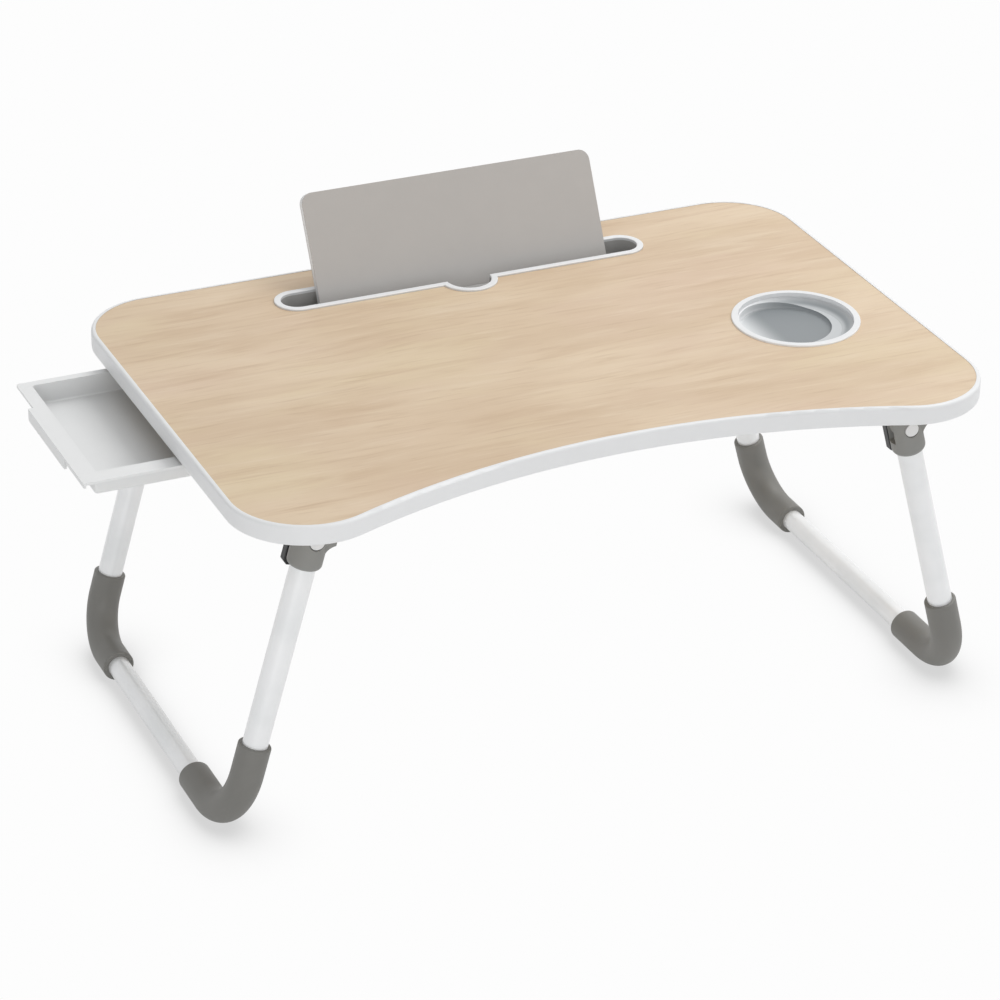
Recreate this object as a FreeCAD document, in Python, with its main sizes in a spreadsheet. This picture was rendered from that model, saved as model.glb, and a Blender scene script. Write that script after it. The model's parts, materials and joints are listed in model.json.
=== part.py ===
"""Folding lap desk with a side drawer, a panel slot and a cup holder. Millimetres, +Z up.

The origin is the centre of the table's top surface. X runs to the right along the long side
and Y runs to the back. The drawer stands partly open, as it is used.
"""
import FreeCAD, Part
import math
import os
import re
import Sketcher

doc = FreeCAD.newDocument("lap_desk")
sheet = doc.addObject("Spreadsheet::Sheet", "Sizes")

# Driving sizes, in millimetres and degrees
SIZES = {
    # table top
    "table_width": 600, "table_depth": 400, "table_height": 281,
    "back_corner": 57.5, "front_corner": 59.5, "belly_depth": 45,
    "trim_height": 15, "trim_wall": 3.5, "trim_crown": 2.2, "trim_foot_round": 1.4,
    "tongue_reach": 5, "tongue_thick": 2, "tongue_rise": 5.5,
    "top_recess": 0.3, "laminate_thick": 0.8, "board_thick": 12,
    # slot for the rest panel
    "slot_centre_x": 6, "slot_setback": 53, "slot_length": 305, "slot_opening": 26,
    "bezel_width": 5.2, "bezel_height": 1.5, "bezel_round": 0.7,
    "notch_radius": 18, "trough_depth": 15.5, "trough_wall": 1.6, "trough_floor": 1.8,
    "rib_length": 226, "rib_height": 4, "rib_thick": 3.5,
    # rest panel
    "panel_width": 247.5, "panel_length": 93.6, "panel_lean": 28, "panel_shift": 4,
    "panel_ahead": 1.6, "panel_core": 4.4, "panel_skin": 0.8, "panel_corner": 9,
    # cup holder
    "cup_side_gap": 89, "cup_y": -28, "cup_flange_radius": 50, "cup_flange_height": 1.5,
    "cup_mouth_radius": 45, "cup_mouth_depth": 2.2, "cup_ledge_radius": 36,
    "cup_ledge_depth": 6.4, "cup_well_radius": 36, "cup_well_left": 5.5, "cup_well_back": 6,
    "cup_depth": 9.4, "cup_wall": 1.8, "cup_round": 0.7, "cup_foot_round": 2.2,
    # drawer tray
    "drawer_pull_out": 73, "drawer_width": 170, "drawer_setback": 76,
    "drawer_inset": 4, "drawer_length": 248, "drawer_drop": 2.3,
    "rim_thick": 2, "rim_front": 12.6, "rim_back": 4.8, "rim_end": 8.6,
    "tray_depth": 18, "tray_wall": 1.8, "tray_corner": 2.4, "tray_foot_round": 2.2,
    "tray_inner_corner": 2.2, "tray_inner_round": 1.6,
    "lip_width": 85, "lip_drop": 10, "lip_thick": 1.8, "lip_setback": 84.5,
    "hem_drop": 3.5, "hem_reach": 1.5, "nub_height": 1.2, "nub_length": 4, "nub_place": 178.5,
    # drawer rails
    "rail_wall": 3.5, "rail_shelf": 2.5, "rail_gap": 0.3, "rail_side_gap": 0.5,
    "rail_stop": 3, "rail_mouth": 5, "rail_foot_width": 9, "rail_foot_thick": 2.5,
    "rail_foot_length": 118, "rail_screw_pitch": 96, "nub_room": 0.4, "rail_tab_length": 10,
    # leg frames
    "pivot_side_gap": 61.7, "pivot_drop": 36.5, "leg_tilt": 15.45,
    "left_front_gap": 54, "left_back_gap": 36, "right_front_gap": 47, "right_back_gap": 25,
    "tube_radius": 9.6, "tube_wall": 1.2, "bar_radius": 8.6, "bar_wall": 1.2,
    "elbow_radius": 12.5, "elbow_bore": 7.5, "elbow_lip": 1.4, "socket_depth": 18,
    "elbow_front_bend": 48, "elbow_front_rise": 72, "elbow_front_reach": 80,
    "elbow_back_bend": 36, "elbow_back_rise": 54, "elbow_back_reach": 58,
    # hinges
    "knuckle_radius": 13, "knuckle_length": 23.7, "knuckle_round": 4,
    "slot_reach": 11.8, "slot_web": 2, "web_drop": 3,
    "flare_reach": 19, "flare_thick": 18, "flare_sweep": 10, "flare_rise": 11.7, "flare_top": 2,
    "pin_radius": 3, "pin_chamfer": 0.4, "cap_radius": 5.5, "cap_thick": 1.8, "cap_recess": 2,
    "cap_room": 0.7, "cap_round": 0.5,
    "lug_radius": 10.5, "lug_thick": 9,
    "base_length": 44, "base_width": 38, "base_thick": 3, "base_corner": 5, "base_round": 0.8,
    # lock levers
    "lever_flat": 10.3, "lever_gap": 2.2, "lever_travel": 1.8, "lever_thick": 7,
    "lever_width": 19.2, "lever_length": 39.5, "lever_top": 9.5, "lever_bevel": 3,
    "lever_round": 0.8,
    "stem_radius": 1.6, "stem_drop": 8.5, "stem_head_radius": 2.6, "stem_head_thick": 1.7,
    # screws
    "screw_radius": 1.5, "screw_head_radius": 3.2, "screw_head_thick": 1.8, "screw_length": 9,
    "screw_slot_width": 0.8, "screw_slot_length": 3.6, "screw_slot_depth": 1,
    "hinge_screw_x": 16, "hinge_screw_y": 12,
    # clearances
    "fit_gap": 0.1, "running_gap": 0.05, "free_gap": 0.3, "overrun": 5,
}
for row, (alias, value) in enumerate(SIZES.items(), start=1):
    sheet.set("A%d" % row, alias)
    sheet.set("B%d" % row, str(value))
    sheet.setAlias("B%d" % row, alias)
doc.recompute()

# Heights and places worked out from the driving sizes
BOARD_TOP = "(-laminate_thick)"
UNDERSIDE = "(-laminate_thick - board_thick)"
TRIM_FOOT = "(top_recess - trim_height)"
TROUGH_FLOOR = "(-trough_depth)"
PIVOT_X = "(table_width / 2 - pivot_side_gap)"
PIVOT_Z = "(-pivot_drop)"
LEG_LENGTH = "((table_height - pivot_drop - elbow_radius) / cos(leg_tilt))"
SLOT_Y = "(table_depth / 2 - slot_setback)"
SLOT_RADIUS = "(slot_opening / 2)"
CUP_X = "(table_width / 2 - cup_side_gap)"
DRAWER_BACK = "(table_depth / 2 - drawer_setback)"
DRAWER_FRONT = "(%s - drawer_width)" % DRAWER_BACK
RIM_TOP = "(%s - drawer_drop)" % TRIM_FOOT
RIM_X = "(drawer_inset - table_width / 2 - drawer_pull_out)"
BASE_FOOT = "(%s - base_thick)" % UNDERSIDE
PANEL_THICK = "(panel_core + 2 * panel_skin)"
PANEL_X = "(slot_centre_x + panel_shift)"
PANEL_FOOT_Y = "(%s - panel_ahead)" % SLOT_Y
PANEL_FOOT_Z = "(%s + fit_gap + %s * sin(panel_lean))" % (TROUGH_FLOOR, PANEL_THICK)
RAIL_X = "(trim_wall + drawer_inset + free_gap - table_width / 2)"
RAIL_RUN = "(drawer_inset + drawer_length + fit_gap - table_width / 2 - %s)" % RAIL_X

X_AXIS = FreeCAD.Vector(1, 0, 0)
Y_AXIS = FreeCAD.Vector(0, 1, 0)
Z_AXIS = FreeCAD.Vector(0, 0, 1)
EDGE_TOLERANCE_SHARE = 1e-6


def size(text):
    """The present value of an expression in the sheet's sizes."""
    return float(sheet.evalExpression(bound(text)))


def bound(text):
    """The expression with each size's alias named on its sheet."""
    def on_sheet(match):
        word = match.group(0)
        return "Sizes." + word if word in SIZES else word
    return re.sub(r"[A-Za-z_]+", on_sheet, str(text))


def bind(obj, **fields):
    for field, text in fields.items():
        obj.setExpression(field, bound(text))
    return obj


def place(obj, at=("0", "0", "0"), turn=None, axis=Y_AXIS):
    """Puts an object at the place that three expressions give, turned about an axis."""
    if turn is not None:
        obj.Placement = FreeCAD.Placement(FreeCAD.Vector(), FreeCAD.Rotation(axis, size(turn)))
        obj.setExpression("Placement.Rotation.Angle", bound(turn))
    for letter, text in zip("xyz", at):
        obj.setExpression("Placement.Base." + letter, bound(text))
    return obj


def box(name, length, width, height, at):
    """A box on the three axes; at is its lowest corner."""
    obj = doc.addObject("Part::Box", name)
    bind(obj, Length=length, Width=width, Height=height)
    return place(obj, at)


def rod(name, radius, height, at, axis=None):
    """A round bar along Z, or along Y where axis is "Y", from its start at to its end."""
    obj = doc.addObject("Part::Cylinder", name)
    bind(obj, Radius=radius, Height=height)
    if axis == "Y":
        obj.Placement = FreeCAD.Placement(FreeCAD.Vector(), FreeCAD.Rotation(X_AXIS, -90))
    return place(obj, at)


def cone(name, low_radius, high_radius, height, at):
    obj = doc.addObject("Part::Cone", name)
    bind(obj, Radius1=low_radius, Radius2=high_radius, Height=height)
    return place(obj, at)


def torus(name, ring_radius, radius, at):
    obj = doc.addObject("Part::Torus", name)
    bind(obj, Radius1=ring_radius, Radius2=radius)
    return place(obj, at)


def cut(name, base, *tools):
    """The base with each tool taken away."""
    obj = doc.addObject("Part::Cut", name)
    obj.Base = base
    obj.Tool = tools[0] if len(tools) == 1 else fuse(name + "_tools", *tools)
    return obj


def fuse(name, *pieces):
    obj = doc.addObject("Part::MultiFuse", name)
    obj.Shapes = list(pieces)
    return obj


def common(name, *pieces):
    obj = doc.addObject("Part::MultiCommon", name)
    obj.Shapes = list(pieces)
    return obj


def new_body(name):
    return doc.addObject("PartDesign::Body", name)


def new_sketch(body, name, plane="XY", lift="0"):
    """A sketch on one of the body's own origin planes, lifted along the plane's normal."""
    sketch = body.newObject("Sketcher::SketchObject", name)
    base = [f for f in body.Origin.OriginFeatures if f.Role == plane + "_Plane"][0]
    sketch.AttachmentSupport = [(base, "")]
    sketch.MapMode = "FlatFace"
    sketch.setExpression("AttachmentOffset.Base.z", bound(lift))
    return sketch


def dimension(sketch, name, kind, text, *where):
    """A named sketch dimension that follows an expression."""
    index = sketch.addConstraint(Sketcher.Constraint(kind, *where, size(text)))
    sketch.renameConstraint(index, name)
    sketch.setExpression("Constraints." + name, bound(text))


def pad(body, sketch, length, both_ways=False, downward=False):
    feature = body.newObject("PartDesign::Pad", sketch.Name + "_pad")
    feature.Profile = sketch
    feature.Midplane = both_ways
    feature.Reversed = downward
    feature.setExpression("Length", bound(length))
    doc.recompute()
    return feature


def pocket(body, sketch, length):
    """A pocket both ways from its sketch, checked to have cut something."""
    before = body.Shape.Volume
    feature = body.newObject("PartDesign::Pocket", sketch.Name + "_pocket")
    feature.Profile = sketch
    feature.Midplane = True
    feature.setExpression("Length", bound(length))
    doc.recompute()
    if not feature.Shape.Volume < before:
        raise RuntimeError(feature.Name + " cut nothing")
    return feature


def round_edges(body, radius, chosen, kind="PartDesign::Fillet"):
    """Fillets, or chamfers, the edges of the body's tip that the test chosen picks."""
    tip = body.Tip
    names = ["Edge%d" % (i + 1) for i, edge in enumerate(tip.Shape.Edges) if chosen(edge)]
    feature = body.newObject(kind, "%s_round_%d" % (body.Name, len(body.Group)))
    feature.Base = (tip, names)
    field = "Radius" if kind.endswith("Fillet") else "Size"
    feature.setExpression(field, bound(radius))
    doc.recompute()
    return feature


def level(edge, axis, value):
    """True where the whole edge lies at one value of an axis."""
    box_ = edge.BoundBox
    low = getattr(box_, axis + "Min")
    high = getattr(box_, axis + "Max")
    near = EDGE_TOLERANCE_SHARE * size("table_width")
    return abs(low - value) < near and abs(high - value) < near


def along(edge, axis):
    """True for a straight edge along an axis."""
    if edge.Curve.TypeId != "Part::GeomLine":
        return False
    return abs(abs(edge.Curve.Direction.dot(axis)) - 1) < EDGE_TOLERANCE_SHARE


def slab(name, plane, width, height, thick, corner=None, edge=None):
    """A rectangle centred on one of the origin planes, with its thickness both ways.

    corner rounds the edges across the slab, and edge rounds the ones around its faces."""
    body = new_body(name)
    sketch = new_sketch(body, name + "_sketch", plane)
    half_width = size(width) / 2
    half_height = size(height) / 2
    corners = [(-half_width, -half_height), (half_width, -half_height),
               (half_width, half_height), (-half_width, half_height)]
    points = [FreeCAD.Vector(x, y, 0) for x, y in corners]
    for start, end in zip(points, points[1:] + points[:1]):
        sketch.addGeometry(Part.LineSegment(start, end))
    for side in range(4):
        sketch.addConstraint(Sketcher.Constraint("Coincident", side, 2, (side + 1) % 4, 1))
    for side, direction in enumerate(("Horizontal", "Vertical", "Horizontal", "Vertical")):
        sketch.addConstraint(Sketcher.Constraint(direction, side))
    sketch.addConstraint(Sketcher.Constraint("Symmetric", 0, 1, 2, 1, -1, 1))
    dimension(sketch, "width", "DistanceX", width, 0, 1, 0, 2)
    dimension(sketch, "height", "DistanceY", height, 1, 1, 1, 2)
    pad(body, sketch, thick, both_ways=True)
    normal = {"XY": Z_AXIS, "XZ": Y_AXIS, "YZ": X_AXIS}[plane]
    letter = {"XY": "Z", "XZ": "Y", "YZ": "X"}[plane]
    if corner is not None:
        round_edges(body, corner, lambda e: along(e, normal))
    if edge is not None:
        half = size(thick) / 2
        round_edges(body, edge, lambda e: level(e, letter, half) or level(e, letter, -half))
    return body


def label(obj, name):
    obj.Label = name
    return obj


# Table top

def draw_outline(sketch, inset, tag):
    """The table's outline, drawn inset from its outer edge: straight back and sides, rounded
    corners, and one shallow arc across the front that is tangent to both front corners."""
    back = "(back_corner - (%s))" % inset
    front = "(front_corner - (%s))" % inset
    half_w = "(table_width / 2 - (%s))" % inset
    half_d = "(table_depth / 2 - (%s))" % inset
    reach = "(table_width / 2 - front_corner)"
    belly = "((%s ^ 2 + belly_depth ^ 2) / (2 * belly_depth) - front_corner + (%s))" % (reach, inset)
    hw, hd, rb, rf, rc = size(half_w), size(half_d), size(back), size(front), size(belly)
    corner_x = hw - rf
    corner_y = rf - hd
    centre_y = corner_y - math.sqrt((rc + rf) ** 2 - corner_x ** 2)
    turn = math.atan2(corner_y - centre_y, corner_x)
    quarter = math.pi / 2
    first = sketch.GeometryCount

    def arc(x, y, radius, start, end):
        circle = Part.Circle(FreeCAD.Vector(x, y, 0), Z_AXIS, radius)
        sketch.addGeometry(Part.ArcOfCircle(circle, start, end))

    def line(x0, y0, x1, y1):
        sketch.addGeometry(Part.LineSegment(FreeCAD.Vector(x0, y0, 0), FreeCAD.Vector(x1, y1, 0)))

    line(hw - rb, hd, rb - hw, hd)
    arc(rb - hw, hd - rb, rb, quarter, 2 * quarter)
    line(-hw, hd - rb, -hw, corner_y)
    arc(-corner_x, corner_y, rf, 2 * quarter, 4 * quarter - turn)
    arc(0, centre_y, rc, turn, 2 * quarter - turn)
    arc(corner_x, corner_y, rf, 2 * quarter + turn, 4 * quarter)
    line(hw, corner_y, hw, hd - rb)
    arc(hw - rb, hd - rb, rb, 0, quarter)
    # each row: geometry, its end point, the next geometry, its start point
    joins = [(0, 2, 1, 1), (1, 2, 2, 1), (2, 2, 3, 1), (3, 2, 4, 2), (4, 1, 5, 1),
             (5, 2, 6, 1), (6, 2, 7, 1), (7, 2, 0, 1)]
    for a, a_end, b, b_end in joins:
        sketch.addConstraint(Sketcher.Constraint("Tangent", first + a, a_end, first + b, b_end))
    sketch.addConstraint(Sketcher.Constraint("Horizontal", first))
    sketch.addConstraint(Sketcher.Constraint("Vertical", first + 2))
    sketch.addConstraint(Sketcher.Constraint("Vertical", first + 6))
    sketch.addConstraint(Sketcher.Constraint("Symmetric", first + 3, 3, first + 5, 3, -2))
    sketch.addConstraint(Sketcher.Constraint("Equal", first + 1, first + 7))
    sketch.addConstraint(Sketcher.Constraint("Equal", first + 3, first + 5))
    dimension(sketch, tag + "_back_radius", "Radius", back, first + 1)
    dimension(sketch, tag + "_front_radius", "Radius", front, first + 3)
    dimension(sketch, tag + "_belly_radius", "Radius", belly, first + 4)
    dimension(sketch, tag + "_half_depth", "DistanceY", half_d, -1, 1, first, 1)
    dimension(sketch, tag + "_half_width", "DistanceX", half_w, -1, 1, first + 6, 1)
    front_line = "(table_depth / 2 - front_corner)"
    dimension(sketch, tag + "_corner_y", "DistanceY", front_line, first + 5, 3, -1, 1)


def draw_slot(sketch, grow, tag):
    """The panel slot's outline: a long round-ended slot with a thumb notch at its front
    middle, grown by the expression grow. The slot's centre is the sketch's origin."""
    radius = "(%s + (%s))" % (SLOT_RADIUS, grow)
    notch = "(notch_radius + (%s))" % grow
    half = "(slot_length / 2 - slot_opening / 2)"
    front = "(slot_opening / 2)"
    r, n, h, f = size(radius), size(notch), size(half), size(front)
    mouth = math.sqrt(n * n - (r - f) ** 2)
    dip = math.atan2(r - f, mouth)
    first = sketch.GeometryCount
    quarter = math.pi / 2

    def vector(x, y):
        return FreeCAD.Vector(x, y, 0)

    sketch.addGeometry(Part.LineSegment(vector(h, r), vector(-h, r)))
    left = Part.Circle(vector(-h, 0), Z_AXIS, r)
    sketch.addGeometry(Part.ArcOfCircle(left, quarter, 3 * quarter))
    sketch.addGeometry(Part.LineSegment(vector(-h, -r), vector(-mouth, -r)))
    thumb = Part.Circle(vector(0, -f), Z_AXIS, n)
    sketch.addGeometry(Part.ArcOfCircle(thumb, 2 * quarter + dip, 4 * quarter - dip))
    sketch.addGeometry(Part.LineSegment(vector(mouth, -r), vector(h, -r)))
    right = Part.Circle(vector(h, 0), Z_AXIS, r)
    sketch.addGeometry(Part.ArcOfCircle(right, -quarter, quarter))
    joins = [(0, 2, 1, 1, "Tangent"), (1, 2, 2, 1, "Tangent"), (2, 2, 3, 1, "Coincident"),
             (3, 2, 4, 1, "Coincident"), (4, 2, 5, 1, "Tangent"), (5, 2, 0, 1, "Tangent")]
    for a, a_end, b, b_end, kind in joins:
        sketch.addConstraint(Sketcher.Constraint(kind, first + a, a_end, first + b, b_end))
    for side in (0, 2, 4):
        sketch.addConstraint(Sketcher.Constraint("Horizontal", first + side))
    sketch.addConstraint(Sketcher.Constraint("Symmetric", first + 1, 3, first + 5, 3, -1, 1))
    sketch.addConstraint(Sketcher.Constraint("PointOnObject", first + 3, 3, -2))
    dimension(sketch, tag + "_radius", "Radius", radius, first + 5)
    dimension(sketch, tag + "_half", "DistanceX", half, -1, 1, first + 5, 3)
    dimension(sketch, tag + "_notch", "Radius", notch, first + 3)
    dimension(sketch, tag + "_front", "DistanceY", front, first + 3, 3, -1, 1)


def slot_prism(name, grow, low, high):
    """A solid with the slot's outline, from one height to another."""
    body = new_body(name)
    sketch = new_sketch(body, name + "_sketch")
    draw_slot(sketch, grow, "slot")
    pad(body, sketch, "(%s) - (%s)" % (high, low))
    place(body, ("slot_centre_x", SLOT_Y, low))
    return body


def top_holes(name, low, high, slot_grow, cup_radius):
    """The slot and cup openings through a layer of the table top."""
    under = "(%s - overrun)" % low
    tall = "(%s + overrun)" % high
    slot = slot_prism(name + "_slot", slot_grow, under, tall)
    cup = rod(name + "_cup", cup_radius, "%s - %s" % (tall, under), (CUP_X, "cup_y", under))
    return [slot, cup]


def leg_y(side_name, end_name):
    """The expression for where a leg stands along the table's depth."""
    gap = "%s_%s_gap" % (side_name, end_name)
    return "(%s - table_depth / 2)" % gap if end_name == "front" else "(table_depth / 2 - %s)" % gap


def hinge_places():
    """Side name, side sign, end name and inner sign of the four hinges."""
    for side_name, side in (("left", -1), ("right", 1)):
        for end_name, inner in (("front", 1), ("back", -1)):
            yield side_name, side, end_name, inner


def screw_places():
    """Where each hinge screw stands: expressions for x and y."""
    for side_name, side, end_name, inner in hinge_places():
        for x_sign in (-1, 1):
            for y_sign in (-1, 1):
                x = "(%d * %s + %d * hinge_screw_x)" % (side, PIVOT_X, x_sign)
                y = "(%s + %d * hinge_screw_y)" % (leg_y(side_name, end_name), y_sign)
                yield x, y


# Each drawer rail: its name's end, the rim edge that it guides, its outward sign, the rim's share
RAILS = (("front", DRAWER_FRONT, -1, "rim_front"), ("back", DRAWER_BACK, 1, "rim_back"))


def rail_screw_places(edge, sign, rim):
    """Two screws in a rail's side foot and one in its end tab."""
    tab_x = "(%s + %s + rail_stop + rail_tab_length / 2)" % (RAIL_X, RAIL_RUN)
    foot_y = "(%s + %d * (rail_side_gap + rail_wall + rail_foot_width / 2))" % (edge, sign)
    places = []
    for step in (-1, 1):
        x = "(%s + rail_foot_length / 2 + %d * rail_screw_pitch / 2)" % (RAIL_X, step)
        places.append((x, foot_y))
    tab_y = "(%s + %d * (rail_side_gap + rail_wall - %s + free_gap) / 2)" % (edge, sign, rim)
    places.append((tab_x, tab_y))
    return places


def all_rail_screw_places():
    return [place_ for _, *rail in RAILS for place_ in rail_screw_places(*rail)]


def table_board():
    body = new_body("board_core")
    outline = new_sketch(body, "board_outline", lift=UNDERSIDE)
    draw_outline(outline, "trim_wall + fit_gap", "board")
    pad(body, outline, "board_thick")
    groove = new_sketch(body, "board_groove", lift="%s + tongue_rise + tongue_thick / 2" % TRIM_FOOT)
    draw_outline(groove, "0", "outer")
    draw_outline(groove, "trim_wall + tongue_reach + fit_gap", "inner")
    pocket(body, groove, "tongue_thick + 2 * fit_gap")
    holes = top_holes("board_hole", UNDERSIDE, BOARD_TOP, "trough_wall + fit_gap",
                      "cup_mouth_radius + cup_wall + fit_gap")
    depth = "(screw_length - base_thick + fit_gap)"
    for number, (x, y) in enumerate(screw_places()):
        holes.append(rod("hinge_pilot_%d" % number, "screw_radius + running_gap",
                         "%s + overrun" % depth, (x, y, "%s - overrun" % UNDERSIDE)))
    depth = "(screw_length - rail_foot_thick + fit_gap)"
    for number, (x, y) in enumerate(all_rail_screw_places()):
        holes.append(rod("rail_pilot_%d" % number, "screw_radius + running_gap",
                         "%s + overrun" % depth, (x, y, "%s - overrun" % UNDERSIDE)))
    return label(cut("board_with_holes", body, *holes), "table_board")


def wood_laminate():
    body = new_body("laminate_sheet")
    outline = new_sketch(body, "laminate_outline", lift=BOARD_TOP)
    draw_outline(outline, "trim_wall + fit_gap", "laminate")
    pad(body, outline, "laminate_thick")
    holes = top_holes("laminate_hole", BOARD_TOP, "0", "bezel_width + fit_gap",
                      "cup_flange_radius + fit_gap")
    return label(cut("laminate_with_holes", body, *holes), "wood_laminate")


def edge_trim():
    """The moulded band round the board: a rounded lip and a tongue in the board's groove."""
    body = new_body("edge_trim_band")
    outline = new_sketch(body, "trim_outline", lift=TRIM_FOOT)
    draw_outline(outline, "0", "outer")
    pad(body, outline, "trim_height")
    top = size("top_recess")
    foot = size(TRIM_FOOT)
    round_edges(body, "trim_crown", lambda e: level(e, "Z", top))
    round_edges(body, "trim_foot_round", lambda e: level(e, "Z", foot))
    inside = new_sketch(body, "trim_inside", lift="top_recess")
    draw_outline(inside, "trim_wall", "inner")
    pocket(body, inside, "2 * trim_height + 2 * overrun")
    tongue = new_sketch(body, "trim_tongue", lift="%s + tongue_rise" % TRIM_FOOT)
    draw_outline(tongue, "trim_wall / 2", "root")
    draw_outline(tongue, "trim_wall + tongue_reach", "tip")
    pad(body, tongue, "tongue_thick")
    return label(body, "edge_trim")


def slot_bezel():
    """The raised white ring round the panel slot, let into the laminate."""
    body = new_body("bezel_ring")
    ring = new_sketch(body, "bezel_sketch", lift=BOARD_TOP)
    draw_slot(ring, "bezel_width", "outer")
    pad(body, ring, "bezel_height - %s" % BOARD_TOP)
    opening = new_sketch(body, "bezel_opening")
    draw_slot(opening, "0", "inner")
    pocket(body, opening, "2 * bezel_height + 2 * overrun")
    top = size("bezel_height")
    round_edges(body, "bezel_round", lambda e: level(e, "Z", top))
    place(body, ("slot_centre_x", SLOT_Y, "0"))
    return label(body, "slot_bezel")


def slot_trough():
    """The grey wall of the trough that hangs under the bezel."""
    shell = slot_prism("trough_shell", "trough_wall", TROUGH_FLOOR, BOARD_TOP)
    room = slot_prism("trough_room", "0", "%s - overrun" % TROUGH_FLOOR, "overrun")
    return label(cut("trough_hollow", shell, room), "slot_trough")


def slot_floor():
    """The trough's flat floor, the panel's foot stands on it."""
    under = "(%s - trough_floor)" % TROUGH_FLOOR
    return label(slot_prism("floor_plate", "trough_wall", under, TROUGH_FLOOR), "slot_floor")


def slot_foot_rib():
    """The rib on the trough's floor that keeps the panel's foot from sliding."""
    rib = box("foot_rib", "rib_length", "rib_thick", "rib_height",
              ("%s - rib_length / 2" % PANEL_X, "%s - free_gap - rib_thick" % PANEL_FOOT_Y,
               TROUGH_FLOOR))
    return label(rib, "slot_foot_rib")


def rest_panel():
    """The loose panel that stands in the slot: a white core between two grey skins."""
    pieces = []
    layers = (("panel_front_skin", "panel_skin", "panel_skin / 2"),
              ("panel_core", "panel_core", "panel_skin + panel_core / 2"),
              ("panel_back_skin", "panel_skin", "panel_skin + panel_core + panel_skin / 2"))
    for name, thick, depth in layers:
        body = new_body(name + "_body")
        sketch = new_sketch(body, name + "_sketch", "XZ")
        draw_panel(sketch)
        pad(body, sketch, thick, both_ways=True)
        y = "(%s + cos(panel_lean) * (%s))" % (PANEL_FOOT_Y, depth)
        z = "(%s - sin(panel_lean) * (%s))" % (PANEL_FOOT_Z, depth)
        place(body, (PANEL_X, y, z), "-panel_lean", X_AXIS)
        pieces.append(label(body, name))
    return pieces


def draw_panel(sketch):
    """The panel's outline: square below, rounded above; its foot is the sketch's origin."""
    half, tall, corner = size("panel_width") / 2, size("panel_length"), size("panel_corner")
    quarter = math.pi / 2

    def line(x0, y0, x1, y1):
        sketch.addGeometry(Part.LineSegment(FreeCAD.Vector(x0, y0, 0), FreeCAD.Vector(x1, y1, 0)))

    def arc(x, y, start):
        circle = Part.Circle(FreeCAD.Vector(x, y, 0), Z_AXIS, corner)
        sketch.addGeometry(Part.ArcOfCircle(circle, start, start + quarter))

    line(-half, 0, half, 0)
    line(half, 0, half, tall - corner)
    arc(half - corner, tall - corner, 0)
    line(half - corner, tall, corner - half, tall)
    arc(corner - half, tall - corner, quarter)
    line(-half, tall - corner, -half, 0)
    kinds = ("Coincident", "Tangent", "Tangent", "Tangent", "Tangent", "Coincident")
    for index, kind in enumerate(kinds):
        sketch.addConstraint(Sketcher.Constraint(kind, index, 2, (index + 1) % 6, 1))
    for index, kind in ((0, "Horizontal"), (1, "Vertical"), (3, "Horizontal"), (5, "Vertical")):
        sketch.addConstraint(Sketcher.Constraint(kind, index))
    sketch.addConstraint(Sketcher.Constraint("Symmetric", 0, 1, 0, 2, -1, 1))
    sketch.addConstraint(Sketcher.Constraint("Equal", 2, 4))
    dimension(sketch, "width", "DistanceX", "panel_width", 0, 1, 0, 2)
    dimension(sketch, "corner", "Radius", "panel_corner", 2)
    dimension(sketch, "height", "DistanceY", "panel_length", 0, 2, 3, 1)


def disc(name, radius, thick, plane="XY", lift="0"):
    """A round pad drawn about the body's origin."""
    body = new_body(name)
    sketch = new_sketch(body, name + "_sketch", plane, lift)
    sketch.addGeometry(Part.Circle(FreeCAD.Vector(), Z_AXIS, size(radius)))
    sketch.addConstraint(Sketcher.Constraint("Coincident", 0, 3, -1, 1))
    dimension(sketch, "radius", "Radius", radius, 0)
    pad(body, sketch, thick)
    return body


def cup_insert():
    """The shallow white dish of the cup holder. Its round floor lies off centre, towards the
    back left, so that a crescent ledge is left at the front right of the sloping wall."""
    at = (CUP_X, "cup_y")
    off_centre = ("%s - cup_well_left" % CUP_X, "cup_y + cup_well_back")
    ledge = "(-cup_ledge_depth)"
    brink = "(-cup_mouth_depth)"
    flange = disc("cup_flange", "cup_flange_radius", "cup_flange_height - %s" % BOARD_TOP)
    rim = size("cup_flange_height - %s" % BOARD_TOP)
    round_edges(flange, "cup_round", lambda e: level(e, "Z", rim))
    place(flange, at + (BOARD_TOP,))
    collar = rod("cup_collar", "cup_mouth_radius + cup_wall", "cup_mouth_depth", at + (brink,))
    side = cone("cup_side", "cup_ledge_radius + cup_wall", "cup_mouth_radius + cup_wall",
                "cup_ledge_depth - cup_mouth_depth", at + (ledge,))
    shelf = rod("cup_shelf", "cup_ledge_radius + cup_wall", "cup_wall", at + ("%s - cup_wall" % ledge,))
    under = disc("cup_under", "cup_well_radius + cup_wall", "cup_depth + cup_wall")
    round_edges(under, "cup_foot_round", lambda e: level(e, "Z", 0))
    place(under, off_centre + ("-cup_depth - cup_wall",))
    slope = cone("cup_slope", "cup_ledge_radius", "cup_mouth_radius",
                 "cup_ledge_depth - cup_mouth_depth", at + (ledge,))
    mouth = rod("cup_mouth", "cup_mouth_radius", "cup_mouth_depth + cup_flange_height + overrun",
                at + (brink,))
    pit = disc("cup_pit", "cup_well_radius", "cup_depth + overrun")
    round_edges(pit, "cup_foot_round", lambda e: level(e, "Z", 0))
    place(pit, off_centre + ("-cup_depth",))
    solid = fuse("cup_solid", flange, collar, side, shelf, under)
    return label(cut("cup_dish", solid, slope, mouth, pit), "cup_insert")


# Drawer

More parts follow.
